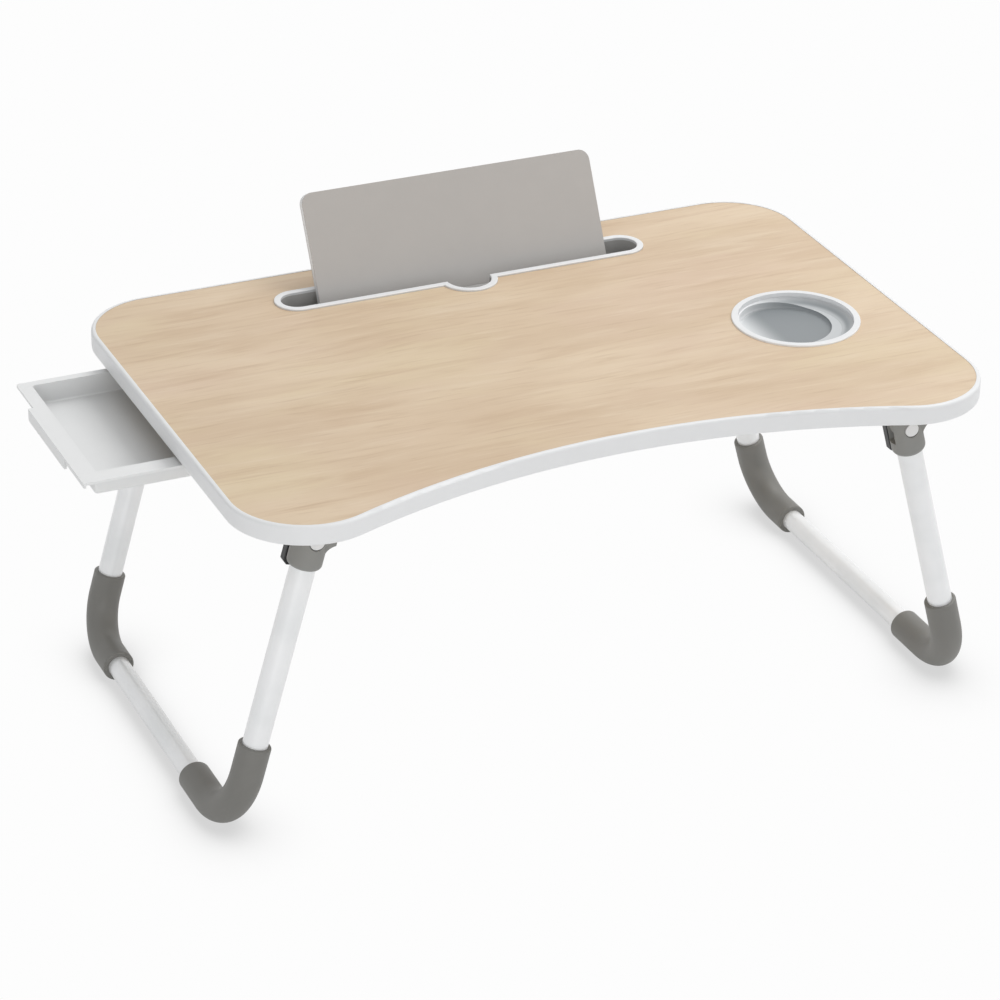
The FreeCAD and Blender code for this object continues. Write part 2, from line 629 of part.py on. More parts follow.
def drawer_tray():
    """The shallow white tray: a flat rim that slides in the rails, a box and a pull lip."""
    rim_foot = "(%s - rim_thick)" % RIM_TOP
    rim = slab("tray_rim", "XY", "drawer_length", "drawer_width", "rim_thick", corner="tray_wall")
    place(rim, ("%s + drawer_length / 2" % RIM_X, "%s + drawer_width / 2" % DRAWER_FRONT,
                "%s - rim_thick / 2" % RIM_TOP))
    room_front = "(%s + rim_front + tray_wall)" % DRAWER_FRONT
    room_back = "(%s - rim_back - tray_wall)" % DRAWER_BACK
    room_left = "(%s + rim_end + tray_wall)" % RIM_X
    room_right = "(%s + drawer_length - tray_wall - tray_wall)" % RIM_X
    room_width = "(%s - %s)" % (room_back, room_front)
    room_length = "(%s - %s)" % (room_right, room_left)
    centre = ("(%s + %s) / 2" % (room_left, room_right), "(%s + %s) / 2" % (room_front, room_back))
    box_shape = slab("tray_box", "XY", "%s + 2 * tray_wall" % room_length,
                     "%s + 2 * tray_wall" % room_width, "tray_depth", corner="tray_corner")
    foot = -size("tray_depth") / 2
    round_edges(box_shape, "tray_foot_round", lambda e: level(e, "Z", foot))
    place(box_shape, centre + ("%s - tray_depth / 2" % RIM_TOP,))
    room = slab("tray_room", "XY", room_length, room_width, "tray_depth",
                corner="tray_inner_corner")
    round_edges(room, "tray_inner_round", lambda e: level(e, "Z", foot))
    place(room, centre + ("%s - tray_depth / 2 + tray_wall" % RIM_TOP,))
    lip_y = "(%s - lip_setback)" % DRAWER_BACK
    lip_front = "(%s - lip_width / 2)" % lip_y
    lip_back = "(%s + lip_width / 2)" % lip_y
    hem_front = "(%s - hem_reach)" % DRAWER_FRONT
    shelf = box("lip_shelf", "drawer_inset + tray_wall", "%s - %s" % (lip_back, DRAWER_FRONT),
                "rim_thick", ("%s - drawer_inset" % RIM_X, DRAWER_FRONT, rim_foot))
    lip = slab("lip_plate", "YZ", "lip_width", "lip_drop", "lip_thick", corner="lip_thick")
    place(lip, ("%s - drawer_inset + lip_thick / 2" % RIM_X, lip_y,
                "%s - lip_drop / 2" % RIM_TOP))
    lip_top = box("lip_top", "lip_thick", "lip_width", "lip_drop / 2",
                  ("%s - drawer_inset" % RIM_X, lip_front, "%s - lip_drop / 2" % RIM_TOP))
    hem = box("rim_hem", "lip_thick", "%s - 2 * lip_thick - %s" % (lip_front, hem_front), "hem_drop",
              ("%s - drawer_inset" % RIM_X, hem_front, "%s - hem_drop" % RIM_TOP))
    nubs = []
    for name, y in (("front", DRAWER_FRONT), ("back", "%s - rim_back / 2" % DRAWER_BACK)):
        nubs.append(box("rim_nub_" + name, "nub_length", "rim_back / 2", "nub_height + rim_thick / 2",
                        ("%s + nub_place" % RIM_X, y, "%s - rim_thick / 2" % RIM_TOP)))
    solid = fuse("tray_solid", rim, box_shape, shelf, lip, lip_top, hem, *nubs)
    return label(cut("tray_with_room", solid, room), "drawer_tray")


def drawer_rail(end_name, edge, sign, rim):
    """One rail under the board: a channel for the tray's rim, a stop and a screw foot."""
    name = "drawer_rail_" + end_name

    def from_edge(near, far):
        """Lowest y and width of what lies between two distances outward from the rim's edge."""
        low = near if sign > 0 else far
        return "(%s + %d * (%s))" % (edge, sign, low), "((%s) - (%s))" % (far, near)

    foot_z = "(%s - rim_thick - rail_gap - rail_shelf)" % RIM_TOP
    y, width = from_edge("free_gap - %s" % rim, "rail_side_gap + rail_wall")
    block = box(name + "_block", "%s + rail_stop" % RAIL_RUN, width,
                "%s - %s" % (UNDERSIDE, foot_z), (RAIL_X, y, foot_z))
    tab = box(name + "_tab", "rail_stop + rail_tab_length", width, "rail_foot_thick",
              ("%s + %s" % (RAIL_X, RAIL_RUN), y, "%s - rail_foot_thick" % UNDERSIDE))
    slot_y, slot_width = from_edge("-(rim_front + overrun)", "rail_side_gap")
    channel = box(name + "_channel", "%s + overrun" % RAIL_RUN, slot_width,
                  "rim_thick + 2 * rail_gap",
                  ("%s - overrun" % RAIL_X, slot_y, "%s - rim_thick - rail_gap" % RIM_TOP))
    high = box(name + "_nub_run", "%s - rail_mouth" % RAIL_RUN, slot_width,
               "nub_height + nub_room + rail_gap",
               ("%s + rail_mouth" % RAIL_X, slot_y, "%s - rail_gap" % RIM_TOP))
    foot_y, foot_width = from_edge("rail_side_gap", "rail_side_gap + rail_wall + rail_foot_width")
    foot = box(name + "_foot", "rail_foot_length", foot_width, "rail_foot_thick",
               (RAIL_X, foot_y, "%s - rail_foot_thick" % UNDERSIDE))
    holes = []
    for number, (x, hole_y) in enumerate(rail_screw_places(edge, sign, rim)):
        holes.append(rod("%s_hole_%d" % (name, number), "screw_radius + running_gap",
                         "rail_foot_thick + 2 * overrun",
                         (x, hole_y, "%s - rail_foot_thick - overrun" % UNDERSIDE)))
    solid = fuse(name + "_solid", block, foot, tab)
    return label(cut(name + "_shape", solid, channel, high, *holes), name)


def screws(name, places, seat):
    """Pan-head screws that hold a foot of the thickness seat to the board's underside."""
    pieces = []
    for number, (x, y) in enumerate(places):
        head = rod("%s_head_%d" % (name, number), "screw_head_radius", "screw_head_thick",
                   (x, y, "%s - (%s) - screw_head_thick" % (UNDERSIDE, seat)))
        shank = rod("%s_shank_%d" % (name, number), "screw_radius", "screw_length",
                    (x, y, "%s - (%s)" % (UNDERSIDE, seat)))
        slots = []
        for way, long, wide in (("x", "screw_slot_length", "screw_slot_width"),
                                ("y", "screw_slot_width", "screw_slot_length")):
            low_z = "%s - (%s) - screw_head_thick - overrun" % (UNDERSIDE, seat)
            slots.append(box("%s_slot_%s_%d" % (name, way, number), long, wide,
                             "screw_slot_depth + overrun",
                             ("%s - %s / 2" % (x, long), "%s - %s / 2" % (y, wide), low_z)))
        blank = fuse("%s_blank_%d" % (name, number), head, shank)
        pieces.append(cut("%s_%d" % (name, number), blank, *slots))
    group = doc.addObject("Part::Compound", name + "_group")
    group.Links = pieces
    return label(group, name)


# Hinges and leg frames

STEM_STOP = "(lug_thick / 2 + free_gap + lever_travel + stem_head_thick)"


def tilt(side):
    return "%d * leg_tilt" % -side


def on_leg(obj, side, y, drop="0"):
    """Places a piece drawn with its pivot, or the point drop below it on the leg's axis, at
    the origin and the leg along -Z."""
    x = "(%d * (%s + (%s) * sin(leg_tilt)))" % (side, PIVOT_X, drop)
    z = "(%s - (%s) * cos(leg_tilt))" % (PIVOT_Z, drop)
    return place(obj, (x, y, z), tilt(side))


def hinge_bracket(name, side, y):
    """The fixed half: a base screwed under the board and a round-ended lug for the pin."""
    base = slab(name + "_base", "XY", "base_length", "base_width", "base_thick",
                corner="base_corner")
    foot = -size("base_thick") / 2
    round_edges(base, "base_round", lambda e: level(e, "Z", foot))
    x = "%d * %s" % (side, PIVOT_X)
    place(base, (x, y, "%s + base_thick / 2" % BASE_FOOT))
    neck = box(name + "_neck", "2 * lug_radius", "lug_thick", "%s - %s" % (BASE_FOOT, PIVOT_Z),
               ("%s - lug_radius" % x, "%s - lug_thick / 2" % y, PIVOT_Z))
    eye = rod(name + "_eye", "lug_radius", "lug_thick", (x, "%s - lug_thick / 2" % y, PIVOT_Z), "Y")
    holes = [rod(name + "_bore", "pin_radius + running_gap", "lug_thick + 2 * overrun",
                 (x, "%s - lug_thick / 2 - overrun" % y, PIVOT_Z), "Y")]
    for x_sign in (-1, 1):
        for y_sign in (-1, 1):
            holes.append(rod("%s_hole_%d_%d" % (name, x_sign + 1, y_sign + 1),
                             "screw_radius + running_gap", "base_thick + 2 * overrun",
                             ("%s + %d * hinge_screw_x" % (x, x_sign),
                              "%s + %d * hinge_screw_y" % (y, y_sign),
                              "%s - overrun" % BASE_FOOT)))
    solid = fuse(name + "_solid", base, neck, eye)
    return label(cut(name + "_shape", solid, *holes), name)


def across(name, radius, near, far, inner, x="0", z="0"):
    """A round bar along Y between two distances from the leg's plane, on the side inner."""
    low = "(%s)" % near if inner > 0 else "-(%s)" % far
    return rod(name, radius, "(%s) - (%s)" % (far, near), (x, low, z), "Y")


def knuckle(name, side, inner, y):
    """The moving half: a collar round the tube, forked over the lug, with a flared shoulder.

    The shoulder faces +X in front and -X behind. A web closes the fork on the outer side of
    the table, below the lug, which never turns that way."""
    collar = disc(name + "_collar", "knuckle_radius", "knuckle_length + knuckle_radius",
                  lift="-knuckle_length")
    foot = -size("knuckle_length")
    round_edges(collar, "knuckle_round", lambda e: level(e, "Z", foot))
    crown = rod(name + "_crown", "knuckle_radius", "2 * knuckle_radius", ("0", "-knuckle_radius", "0"), "Y")
    column = box(name + "_column", "2 * knuckle_radius", "2 * knuckle_radius", "knuckle_length",
                 ("-knuckle_radius", "-knuckle_radius", "-knuckle_length"))
    head = common(name + "_head", collar, fuse(name + "_limits", crown, column))
    low_x = "0" if inner > 0 else "-flare_reach - overrun"
    start = "(flare_rise - knuckle_length)"
    flare = rod(name + "_flare", "flare_reach", "flare_top - %s" % start, ("0", "0", start))
    ring = torus(name + "_ring", "knuckle_radius - fit_gap + flare_sweep", "flare_sweep",
                 ("0", "0", start))
    wing = box(name + "_wing", "flare_reach + overrun", "flare_thick", "flare_top - %s" % start,
               (low_x, "-flare_thick / 2", start))
    shoulder = common(name + "_shoulder", cut(name + "_trumpet", flare, ring), wing)
    slot_width = "(lug_thick + 2 * free_gap)"
    slot_low_x = "-2 * knuckle_radius" if side > 0 else "slot_web - knuckle_radius"
    slot = box(name + "_slot", "3 * knuckle_radius - slot_web", slot_width,
               "slot_reach + 2 * knuckle_radius", (slot_low_x, "-%s / 2" % slot_width, "-slot_reach"))
    mouth = box(name + "_slot_mouth", "4 * knuckle_radius", slot_width,
                "web_drop + 2 * knuckle_radius",
                ("-2 * knuckle_radius", "-%s / 2" % slot_width, "-web_drop"))
    bore = rod(name + "_bore", "tube_radius + running_gap", "knuckle_length - slot_reach + overrun",
               ("0", "0", "-knuckle_length - overrun"))
    half = "knuckle_radius + overrun"
    pin_hole = rod(name + "_pin_hole", "pin_radius + running_gap", "2 * (%s)" % half,
                   ("0", "-(%s)" % half, "0"), "Y")
    recess = across(name + "_recess", "cap_radius + cap_room", "knuckle_radius - cap_recess", half, -inner)
    flat_low = "lever_flat" if inner > 0 else "-knuckle_radius - overrun"
    flat = box(name + "_flat", "4 * knuckle_radius", "knuckle_radius + overrun - lever_flat",
               "knuckle_length + 2 * knuckle_radius + overrun",
               ("-2 * knuckle_radius", flat_low, "-knuckle_length - overrun"))
    stem_hole = across(name + "_stem_hole", "stem_radius + running_gap", "0", half, inner,
                       z="-stem_drop")
    stem_seat = across(name + "_stem_seat", "stem_head_radius + running_gap", "0", STEM_STOP,
                       inner, z="-stem_drop")
    solid = fuse(name + "_solid", head, shoulder)
    shape = cut(name + "_shape", solid, slot, mouth, bore, pin_hole, recess, flat, stem_hole,
                stem_seat)
    return label(on_leg(shape, side, y), name)


def tube(name, side, end_name, y):
    """An upright tube, from the knuckle's bore to the elbow's socket."""
    foot = "(%s - elbow_%s_rise + socket_depth)" % (LEG_LENGTH, end_name)
    long = "(%s - slot_reach)" % foot
    outer = rod(name + "_outer", "tube_radius", long, ("0", "0", "-%s" % foot))
    inner = rod(name + "_inner", "tube_radius - tube_wall", "%s + 2 * overrun" % long,
                ("0", "0", "-%s - overrun" % foot))
    return label(on_leg(cut(name + "_shape", outer, inner), side, y), name)


def elbow(name, side, end_name, inner, y):
    """A bent socket piece that joins an upright to the bottom bar and stands on the floor."""
    bend, rise, reach = ("elbow_%s_%s" % (end_name, word) for word in ("bend", "rise", "reach"))
    body = new_body(name + "_bend")
    spine = new_sketch(body, name + "_spine", "YZ")
    curve = size(bend)
    top = size(rise)
    end = inner * size(reach)

    def vector(across_, up):
        return FreeCAD.Vector(across_, up, 0)

    spine.addGeometry(Part.LineSegment(vector(0, top), vector(0, curve)))
    circle = Part.Circle(vector(inner * curve, curve), Z_AXIS, curve)
    turn = (math.pi, 1.5 * math.pi) if inner > 0 else (1.5 * math.pi, 2 * math.pi)
    spine.addGeometry(Part.ArcOfCircle(circle, *turn))
    spine.addGeometry(Part.LineSegment(vector(inner * curve, 0), vector(end, 0)))
    first, last = (1, 2) if inner > 0 else (2, 1)
    spine.addConstraint(Sketcher.Constraint("Tangent", 0, 2, 1, first))
    spine.addConstraint(Sketcher.Constraint("Tangent", 1, last, 2, 1))
    for line, point, axis in ((0, 1, -2), (0, 2, -2), (2, 1, -1), (2, 2, -1)):
        spine.addConstraint(Sketcher.Constraint("PointOnObject", line, point, axis))
    dimension(spine, "bend", "Radius", bend, 1)
    dimension(spine, "rise", "Distance", "%s - %s" % (rise, bend), 0)
    dimension(spine, "reach", "Distance", "%s - %s" % (reach, bend), 2)
    profile = new_sketch(body, name + "_profile", lift=rise)
    for index, radius in enumerate(("elbow_radius", "elbow_bore")):
        profile.addGeometry(Part.Circle(FreeCAD.Vector(), Z_AXIS, size(radius)))
        profile.addConstraint(Sketcher.Constraint("Coincident", index, 3, -1, 1))
        dimension(profile, radius, "Radius", radius, index)
    doc.recompute()
    pipe = body.newObject("PartDesign::AdditivePipe", name + "_pipe")
    pipe.Profile = profile
    pipe.Spine = (spine, ["Edge1", "Edge2", "Edge3"])
    doc.recompute()
    middle = size("elbow_bore + elbow_radius")

    def outer_mouth(edge):
        at_end = level(edge, "Z", top) or level(edge, "Y", end)
        return at_end and edge.BoundBox.DiagonalLength > middle * math.sqrt(2)

    round_edges(body, "elbow_lip", outer_mouth)
    upright = rod(name + "_upright_socket", "tube_radius + running_gap", "socket_depth + overrun",
                  ("0", "0", "%s - socket_depth" % rise))
    bar = across(name + "_bar_socket", "bar_radius + running_gap", "%s - socket_depth" % reach,
                 "%s + overrun" % reach, inner)
    shape = cut(name + "_shape", body, upright, bar)
    return label(on_leg(shape, side, y, LEG_LENGTH), name)


def bottom_bar(name, side, side_name):
    """The straight tube that joins the front and back elbows of one leg."""
    start = "(%s + elbow_front_reach - socket_depth)" % leg_y(side_name, "front")
    end = "(%s - elbow_back_reach + socket_depth)" % leg_y(side_name, "back")
    long = "(%s - %s)" % (end, start)
    outer = rod(name + "_outer", "bar_radius", long, ("0", start, "0"), "Y")
    inner = rod(name + "_inner", "bar_radius - bar_wall", "%s + 2 * overrun" % long,
                ("0", "%s - overrun" % start, "0"), "Y")
    shape = cut(name + "_shape", outer, inner)
    return label(on_leg(shape, side, "0", LEG_LENGTH), name)


def pivot_pin(name, side, inner, y):
    """The steel pin of one hinge, from under the cap to just below the lever's flat."""
    capped = "(knuckle_radius - cap_recess)"
    covered = "(lever_flat - free_gap)"
    lift = "-" + (covered if inner > 0 else capped)
    body = disc(name + "_rod", "pin_radius", "%s + %s" % (capped, covered), "XZ", lift)
    ends = (size(covered), -size(covered), size(capped), -size(capped))
    round_edges(body, "pin_chamfer", lambda e: any(level(e, "Y", end) for end in ends),
                "PartDesign::Chamfer")
    return label(on_leg(body, side, y), name)


def pin_cap(name, side, inner, y):
    """The white cap over a pin's outer end, sunk in the knuckle's recess."""
    near = "(knuckle_radius - cap_recess)"
    lift = near if inner > 0 else "-%s - cap_thick" % near
    body = disc(name + "_disc", "cap_radius", "cap_thick", "XZ", lift)
    face = -inner * size(near + " + cap_thick")
    round_edges(body, "cap_round", lambda e: level(e, "Y", face))
    return label(on_leg(body, side, y), name)


def lock_lever(name, side, inner, y):
    """The black push lever on a knuckle's inner side, with the stem that locks the lug."""
    plate = slab(name + "_plate", "XZ", "lever_width", "lever_length", "lever_thick")
    foot = -size("lever_length") / 2

    def lower_corner(edge):
        return along(edge, Y_AXIS) and level(edge, "Z", foot)

    round_edges(plate, "lever_bevel", lower_corner, "PartDesign::Chamfer")
    half = size("lever_thick") / 2
    round_edges(plate, "lever_round", lambda e: level(e, "Y", half) or level(e, "Y", -half))
    middle = "(%d * (lever_flat + lever_gap + lever_thick / 2))" % inner
    place(plate, ("0", middle, "lever_top - lever_length / 2"))
    stem = across(name + "_stem", "stem_radius", "%s - stem_head_thick / 2" % STEM_STOP,
                  "lever_flat + lever_gap + lever_thick / 2", inner, z="-stem_drop")
    head = across(name + "_stem_head", "stem_head_radius", "%s - stem_head_thick" % STEM_STOP,
                  STEM_STOP, inner, z="-stem_drop")
    return label(on_leg(fuse(name + "_shape", plate, stem, head), side, y), name)


def build():
    parts = [table_board(), wood_laminate(), edge_trim(), slot_bezel()]
    parts += [slot_trough(), slot_floor(), slot_foot_rib()]
    parts += rest_panel()
    parts += [cup_insert(), drawer_tray()]
    parts += [drawer_rail(*rail) for rail in RAILS]
    parts.append(screws("rail_screws", all_rail_screw_places(), "rail_foot_thick"))
    parts.append(screws("hinge_screws", screw_places(), "base_thick"))
    for side_name, side, end_name, inner in hinge_places():
        where = "_%s_%s" % (end_name, side_name)
        y = leg_y(side_name, end_name)
        parts.append(hinge_bracket("hinge_bracket" + where, side, y))
        parts.append(knuckle("leg_knuckle" + where, side, inner, y))
        parts.append(tube("leg_tube" + where, side, end_name, y))
        parts.append(elbow("leg_elbow" + where, side, end_name, inner, y))
        parts.append(pivot_pin("pivot_pin" + where, side, inner, y))
        parts.append(pin_cap("pin_cap" + where, side, inner, y))
        parts.append(lock_lever("lock_lever" + where, side, inner, y))
    parts.append(bottom_bar("bottom_bar_left", -1, "left"))
    parts.append(bottom_bar("bottom_bar_right", 1, "right"))
    return parts


def export(parts):
    """Checks every object and each sub-part's solid, then writes one file per sub-part."""
    doc.recompute()
    for obj in doc.Objects:
        if "Invalid" in obj.State or "Error" in obj.State:
            raise RuntimeError("%s failed: %s" % (obj.Name, obj.State))
    os.makedirs("parts", exist_ok=True)
    for obj in parts:
        shape = obj.Shape
        if shape.isNull() or not shape.isValid() or not shape.Solids:
            raise RuntimeError(obj.Label + " has no valid solid")
        shape.exportStep("parts/%s.step" % obj.Label)
        print("%-28s %3d solids %12.1f mm3" % (obj.Label, len(shape.Solids), shape.Volume))


export(build())
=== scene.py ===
"""Folding lap desk with a side drawer: finish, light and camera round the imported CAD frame.

Metres throughout. The origin is the centre of the top, +X right, +Y to the back, +Z up.
"""

import json
import math

import bpy
from mathutils import Matrix, Vector


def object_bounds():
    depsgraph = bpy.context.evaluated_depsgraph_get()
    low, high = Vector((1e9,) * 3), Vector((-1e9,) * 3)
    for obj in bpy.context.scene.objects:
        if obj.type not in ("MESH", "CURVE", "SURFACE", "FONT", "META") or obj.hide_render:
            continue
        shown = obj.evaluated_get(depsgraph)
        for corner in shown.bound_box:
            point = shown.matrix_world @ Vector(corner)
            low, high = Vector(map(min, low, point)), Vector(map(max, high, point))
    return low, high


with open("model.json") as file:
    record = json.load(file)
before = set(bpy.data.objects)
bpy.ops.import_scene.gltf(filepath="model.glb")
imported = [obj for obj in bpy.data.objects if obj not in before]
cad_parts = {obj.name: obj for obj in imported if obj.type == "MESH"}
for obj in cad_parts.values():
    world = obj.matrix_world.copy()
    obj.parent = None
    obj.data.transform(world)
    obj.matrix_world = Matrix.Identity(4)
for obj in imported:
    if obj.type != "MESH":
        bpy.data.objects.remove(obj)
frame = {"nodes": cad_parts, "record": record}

CAD_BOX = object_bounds()
NODES = frame["nodes"]
SEEN_WHITE = 0.982          # what the camera and reflections see of floor and surround
FLOOR_ALBEDO = 0.86         # what the floor sends back as light
SKY_LIGHT = 0.5             # strength of the surround as a light


# Small helpers for node materials


def srgb(red, green, blue):
    """A colour as it is seen, 0 to 255 a channel, as the linear colour that a shader wants."""
    shares = [c / 255 for c in (red, green, blue)]
    return tuple(s / 12.92 if s <= 0.04045 else ((s + 0.055) / 1.055) ** 2.4 for s in shares) + (1,)


class Finish:
    """One node material. The methods add nodes and return their output sockets."""

    def __init__(self, name):
        self.material = bpy.data.materials.new(name)
        self.material.use_nodes = True
        self.tree = self.material.node_tree
        self.surface = self.tree.nodes["Principled BSDF"]

    def set(self, **values):
        """Sets the shader's own sockets: a word with _ for each space is a socket's name."""
        for word, value in values.items():
            self.plug(self.surface.inputs[word.replace("_", " ")], value)

    def plug(self, socket, value):
        if isinstance(value, bpy.types.NodeSocket):
            self.tree.links.new(value, socket)
        else:
            socket.default_value = value

    def add(self, kind, inputs=None, **settings):
        node = self.tree.nodes.new("ShaderNode" + kind)
        for word, value in settings.items():
            setattr(node, word, value)
        for place, value in (inputs or {}).items():
            self.plug(node.inputs[place], value)
        return node

    def coordinates(self, scale=(1, 1, 1), turn=(0, 0, 0), place=(0, 0, 0)):
        """Points of the piece in metres, turned and then stretched by scale."""
        points = self.add("TexCoord").outputs["Object"]
        turned = self.add("Mapping", {"Vector": points, "Rotation": turn, "Location": place})
        return self.add("Mapping", {"Vector": turned.outputs[0], "Scale": scale}).outputs[0]

    def noise(self, points, scale=1.0, detail=4.0, roughness=0.5, distortion=0.0):
        settings = {"Vector": points, "Scale": scale, "Detail": detail, "Roughness": roughness,
                    "Distortion": distortion}
        return self.add("TexNoise", settings).outputs["Fac"]

    def span(self, value, low, high, new_low=0.0, new_high=1.0):
        """Maps low to high onto new_low to new_high, and holds the ends."""
        settings = {"Value": value, "From Min": low, "From Max": high, "To Min": new_low,
                    "To Max": new_high}
        return self.add("MapRange", settings, clamp=True, interpolation_type="SMOOTHSTEP").outputs[0]

    def blend(self, factor, first, second, way="MIX"):
        node = self.add("Mix", data_type="RGBA", blend_type=way)
        self.plug(node.inputs[0], factor)
        self.plug(node.inputs[6], first)
        self.plug(node.inputs[7], second)
        return node.outputs[2]

    def combine(self, first, second, way="ADD"):
        return self.add("Math", {0: first, 1: second}, operation=way).outputs[0]

    def relief(self, height, depth, strength=1.0):
        """Bump of a real depth in metres."""
        node = self.add("Bump", {"Height": height, "Strength": strength, "Distance": depth})
        self.plug(self.surface.inputs["Normal"], node.outputs[0])


# Materials


def oak_laminate():
    """Printed light oak: soft clouds of tone, wandering streaks along X, short pores, a satin
    film."""
    oak = Finish("oak_laminate")
    slow = oak.coordinates(scale=(3.0, 7.0, 1.0))
    sway = oak.noise(slow, scale=1.0, detail=2, roughness=0.5)
    wavy = oak.add("CombineXYZ", {"Y": oak.combine(oak.combine(sway, 0.5, "SUBTRACT"), 0.03, "MULTIPLY")})
    points = oak.add("VectorMath", {0: oak.coordinates(), 1: wavy.outputs[0]}, operation="ADD").outputs[0]

    def streaks(across_x, across_y, detail, roughness=0.6, distortion=0.0):
        stretched = oak.add("Mapping", {"Vector": points, "Scale": (across_x, across_y, 1.0)})
        return oak.noise(stretched.outputs[0], 1.0, detail, roughness, distortion)

    clouds = oak.noise(oak.coordinates(scale=(5.0, 13.0, 1.0)), detail=3, distortion=0.4)
    tint = oak.noise(oak.coordinates(scale=(4.5, 11.0, 1.0), place=(3.1, 1.7, 0)), detail=3)
    base = oak.blend(oak.span(clouds, 0.3, 0.7), srgb(218, 193, 163), srgb(231, 209, 180))
    pink = oak.blend(oak.span(tint, 0.52, 0.72, 0, 0.5), base, srgb(223, 196, 172))
    straw = oak.blend(oak.span(tint, 0.48, 0.3, 0, 0.75), pink, srgb(228, 208, 174))
    bands = streaks(7.0, 62.0, 4, 0.6, 0.5)
    banded = oak.blend(oak.span(bands, 0.46, 0.72, 0, 0.5), straw, srgb(206, 177, 144))
    lights = oak.blend(oak.span(bands, 0.46, 0.28, 0, 0.45), banded, srgb(235, 216, 190))
    lines = streaks(17.0, 230.0, 5, 0.58, 0.3)
    lined = oak.blend(oak.span(lines, 0.52, 0.76, 0, 0.42), lights, srgb(194, 163, 130))
    gleams = oak.blend(oak.span(lines, 0.44, 0.28, 0, 0.35), lined, srgb(236, 217, 192))
    pores = streaks(70.0, 1500.0, 3, 0.5)
    hue = oak.blend(oak.span(pores, 0.6, 0.8, 0, 0.22), gleams, srgb(176, 145, 112))
    rough = oak.span(lines, 0.3, 0.7, 0.42, 0.5)
    oak.set(Base_Color=hue, Roughness=rough, Specular_IOR_Level=0.42, Coat_Weight=0.08,
            Coat_Roughness=0.3)
    oak.relief(oak.combine(oak.span(pores, 0.55, 0.8, 1, 0), lines), 0.00006, 0.5)
    return oak.material


def moulding(name, colour, grain=0.00002, roughness=0.4, mottle=0.02, cell=900.0, coat=0.0,
             painted_crease_shade=None):
    """Injection moulded plastic: faint mottling of the colour and a fine spark-eroded grain.

    The last argument gives the reach in metres, and the colour's share left, of a shade painted into inner
    corners."""
    skin = Finish(name)
    points = skin.coordinates()
    patches = skin.noise(points, scale=38.0, detail=4, roughness=0.6)
    dark = tuple(c * (1 - 2 * mottle) for c in colour[:3]) + (1,)
    tone = skin.blend(skin.span(patches, 0.3, 0.7), dark, colour)
    if painted_crease_shade:
        reach, left = painted_crease_shade
        # Painted shade: ambient occlusion darkens the colour in inner corners.
        open_share = skin.add("AmbientOcclusion", {"Distance": reach}, samples=16).outputs["AO"]
        shade = tuple(c * left for c in colour[:3]) + (1,)
        tone = skin.blend(skin.span(open_share, 0.35, 0.9), shade, tone)
    spark = skin.noise(points, scale=cell, detail=3, roughness=0.65)
    rough = skin.span(patches, 0.3, 0.7, roughness - 0.04, roughness + 0.04)
    skin.set(Base_Color=tone, Roughness=rough, Specular_IOR_Level=0.5, Coat_Weight=coat)
    skin.relief(spark, grain, 0.6)
    return skin.material


def cup_white_painted_shade():
    """White dish with shade painted into its colour: greyer with depth, most on the side whose inner faces
    look towards the table's left, an upward step painted light grey, and a floor painted grey, darker
    towards the right.
    """
    dish = Finish("cup_white_painted_shade")
    points = dish.coordinates()
    place = dish.add("SeparateXYZ", {0: points}).outputs
    patches = dish.noise(points, scale=38.0, detail=4, roughness=0.6)
    white = dish.blend(dish.span(patches, 0.3, 0.7), srgb(239, 240, 241), srgb(243, 244, 245))
    # Painted shade: the colour greys with depth, most towards the right, where the inner faces look to the
    # table's left.
    painted_shade_side = dish.span(dish.combine(place["X"], dish.combine(place["Y"], 0.35, "MULTIPLY")), 0.176, 0.236)
    depth = dish.span(place["Z"], -0.0004, -0.0045)
    wall_painted_shade = dish.blend(dish.combine(painted_shade_side, depth, "MULTIPLY"), white, srgb(150, 155, 158))
    # Painted light: faces that point up at the step's depth get a lighter grey than the painted shade
    # around them.
    facing = dish.add("NewGeometry").outputs["Normal"]
    facing_up = dish.add("SeparateXYZ", {0: facing}).outputs["Z"]
    level = dish.span(facing_up, 0.75, 0.95)
    ledge_painted_light = dish.blend(dish.combine(level, dish.span(place["Z"], -0.0045, -0.006), "MULTIPLY"), wall_painted_shade,
                       srgb(206, 209, 211))
    # Painted shade: the floor is painted grey, darker towards the right.
    deep = dish.span(place["Z"], -0.0078, -0.0092)
    floor_painted_shade = dish.blend(dish.span(place["X"], 0.168, 0.199), srgb(244, 246, 247),
                            srgb(142, 147, 150))
    inside = dish.blend(deep, ledge_painted_light, floor_painted_shade)
    # The painted shade and light stay off faces that point downward.
    tone = dish.blend(dish.span(facing_up, -0.5, -0.2), white, inside)
    dish.set(Base_Color=tone, Roughness=0.42)
    dish.relief(dish.noise(points, scale=900.0, detail=3, roughness=0.65), 0.00002, 0.6)
    return dish.material


def tube_metal():
    """Silver-white lacquered aluminium: satin, with a faint fine-grained bump."""
    tube = Finish("tube_metal")
    points = tube.coordinates()
    patches = tube.noise(points, scale=24.0, detail=3, roughness=0.5)
    tone = tube.blend(tube.span(patches, 0.3, 0.7), srgb(236, 238, 239), srgb(245, 246, 247))
    fine = tube.noise(points, scale=1400.0, detail=2, roughness=0.5)
    tube.set(Base_Color=tone, Metallic=0.3, Roughness=tube.span(patches, 0.3, 0.7, 0.28, 0.36),
             Coat_Weight=0.4, Coat_Roughness=0.16)
    tube.relief(fine, 0.00001, 0.5)
    return tube.material


def screw_steel():
    """Zinc-plated steel with a slightly uneven plating."""
    steel = Finish("screw_steel")
    patches = steel.noise(steel.coordinates(), scale=500.0, detail=3, roughness=0.6)
    tone = steel.blend(steel.span(patches, 0.3, 0.7), srgb(150, 151, 152), srgb(196, 197, 198))
    steel.set(Base_Color=tone, Metallic=1.0, Roughness=steel.span(patches, 0.3, 0.7, 0.3, 0.45))
    steel.relief(patches, 0.00001, 0.4)
    return steel.material


